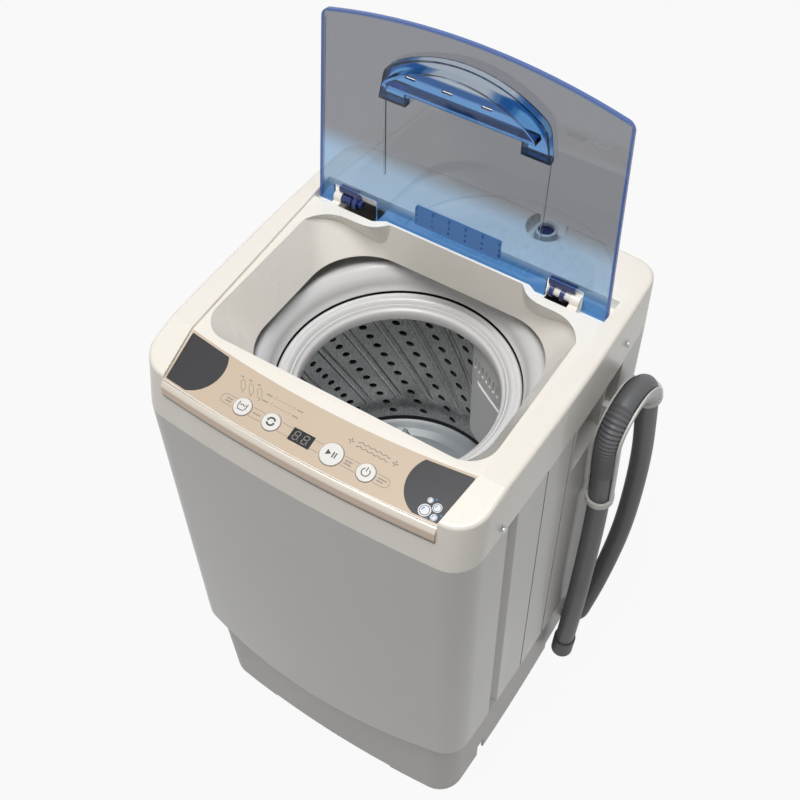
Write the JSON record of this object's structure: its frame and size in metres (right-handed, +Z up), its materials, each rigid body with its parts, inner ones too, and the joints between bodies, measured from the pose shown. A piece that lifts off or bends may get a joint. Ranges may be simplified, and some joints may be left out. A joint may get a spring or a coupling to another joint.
{
  "type": "mini washing machine",
  "caption": "Small top-loading washing machine with a clear blue lid standing open, control panel in front, spin drum inside and a ribbed drain hose clipped to its right side.",
  "frame": {"origin": "bottom centre of the machine's bounding box, hose left out, on the floor under the feet", "axes": "+Z up, -Y towards the person who stands at the control panel, +X to the right side that carries the hose"},
  "size_m": [0.4653, 0.4499, 0.9755],
  "materials": {
    "ivory_abs": "smooth moulded ivory plastic",
    "grey_abs": "fine-grained light grey moulded plastic",
    "beige_panel": "smooth beige panel film",
    "charcoal_film": "smoked dark inset film",
    "gold_trim": "satin champagne plating",
    "painted_body": "powder-coated sheet",
    "lid_blue": "clear blue transparent plastic",
    "hinge_navy": "dark blue moulded plastic",
    "steel": "satin stainless",
    "zinc_steel": "zinc-plated",
    "pale_grey_plastic": "moulded light grey plastic",
    "pulsator_grey": "moulded blue-grey plastic",
    "white_pp": "moulded white polypropylene",
    "hose_grey": "soft dark grey hose",
    "black_rubber": "black rubber",
    "black_plastic": "black moulded plastic",
    "window_dark": "smoked window",
    "cast_alloy": "as cast",
    "motor_steel": "black-grey enamel",
    "circuit_green": "lacquered laminate"
  },
  "bodies": {
    "housing": {"base": "pale_grey_plastic", "cabinet": "painted_body", "rear_service_cover": "pale_grey_plastic", "top_cover": "ivory_abs", "control_panel": "beige_panel", "panel_inset_left": "charcoal_film", "panel_inset_right": "charcoal_film", "display_window": "window_dark", "front_trim_strip": "gold_trim", "control_board": "circuit_green", "board_tray": "white_pp", "inlet_fitting": "pale_grey_plastic", "inlet_valve": "white_pp", "fill_spout": "white_pp", "water_level_sensor": "white_pp", "hinge_pin": "ivory_abs", "lid_damper": "hinge_navy", "power_cord_gland": "black_rubber", "fixed_feet": "black_rubber", "suspension_rod_front_left": "zinc_steel", "suspension_rod_front_right": "zinc_steel", "suspension_rod_rear_left": "zinc_steel", "suspension_rod_rear_right": "zinc_steel", "drain_pipe": "pale_grey_plastic", "drain_hose_free_leg": "hose_grey", "drain_hose_bend": "hose_grey", "drain_hose_fixed_leg": "hose_grey", "hose_guide": "pale_grey_plastic", "hose_cuff": "hose_grey"},
    "lid": {"lid": "lid_blue", "lid_handle": "lid_blue", "lid_slat_block": "lid_blue", "lid_hinge_left": "hinge_navy", "lid_hinge_right": "hinge_navy"},
    "tub": {"outer_tub": "white_pp", "tub_ring": "white_pp", "tub_seal": "black_rubber", "tub_frame": "zinc_steel", "suspension_cups": "black_plastic", "suspension_springs": "steel", "gearbox": "cast_alloy", "motor": "motor_steel", "drive_belt": "black_rubber", "drain_valve": "white_pp", "drain_bellows": "black_rubber"},
    "drum": {"drum": "steel", "drum_hub": "cast_alloy", "balance_ring": "pale_grey_plastic"},
    "lint_filter": {"lint_filter": "white_pp"},
    "pulsator": {"pulsator": "pulsator_grey"},
    "drive_pulley": {"drive_pulley": "cast_alloy"},
    "motor_pulley": {"motor_pulley": "cast_alloy"},
    "levelling_foot": {"levelling_foot": "black_rubber"},
    "power_button": {"power_button": "gold_trim"},
    "start_pause_button": {"start_pause_button": "gold_trim"},
    "program_button": {"program_button": "gold_trim"},
    "level_button": {"level_button": "gold_trim"}
  },
  "joints": [
    {"name": "lid_hinge", "type": "hinge", "parent": "housing", "child": "lid", "pos_m": [0, 0.124, 0.7138], "axis": [1, 0, 0], "range_deg": [0, 93.4]},
    {"name": "tub_bounce", "type": "slide", "parent": "housing", "child": "tub", "axis": [0, 0, 1], "range_m": [-0.006, 0.006], "stiffness_N_per_m": 20000, "springref_m": 0.006, "deforming": ["suspension_springs", "drain_bellows"]},
    {"name": "drum_spin", "type": "hinge", "parent": "tub", "child": "drum", "pos_m": [0, -0.0035, 0.4], "axis": [0, 0, 1], "continuous": true},
    {"name": "pulsator_spin", "type": "hinge", "parent": "drum", "child": "pulsator", "pos_m": [0, -0.0035, 0.36], "axis": [0, 0, 1], "continuous": true},
    {"name": "drive_pulley_spin", "type": "hinge", "parent": "tub", "child": "drive_pulley", "pos_m": [0, -0.0035, 0.2], "axis": [0, 0, 1], "continuous": true},
    {"name": "motor_pulley_spin", "type": "hinge", "parent": "tub", "child": "motor_pulley", "pos_m": [0.098, -0.07, 0.2], "axis": [0, 0, 1], "continuous": true},
    {"name": "lint_filter_tilt", "type": "hinge", "parent": "drum", "child": "lint_filter", "pos_m": [0.0663, 0.1113, 0.388], "axis": [0.866, -0.5, 0], "range_deg": [0, 12]},
    {"name": "levelling_foot_screw", "type": "hinge", "parent": "housing", "child": "levelling_foot", "pos_m": [-0.164, -0.1587, 0], "axis": [0, 0, 1], "continuous": true},
    {"name": "power_button_press", "type": "slide", "parent": "housing", "child": "power_button", "axis": [0, 0.1908, -0.9816], "range_m": [0, 0.0012], "stiffness_N_per_m": 600, "springref_m": -0.0015},
    {"name": "start_pause_button_press", "type": "slide", "parent": "housing", "child": "start_pause_button", "axis": [0, 0.1908, -0.9816], "range_m": [0, 0.0012], "stiffness_N_per_m": 600, "springref_m": -0.0015},
    {"name": "program_button_press", "type": "slide", "parent": "housing", "child": "program_button", "axis": [0, 0.1908, -0.9816], "range_m": [0, 0.0012], "stiffness_N_per_m": 600, "springref_m": -0.0015},
    {"name": "level_button_press", "type": "slide", "parent": "housing", "child": "level_button", "axis": [0, 0.1908, -0.9816], "range_m": [0, 0.0012], "stiffness_N_per_m": 600, "springref_m": -0.0015}
  ],
  "couplings": [
    {"joint": "motor_pulley_spin", "follows": "drive_pulley_spin", "ratio": 3.25}
  ]
}
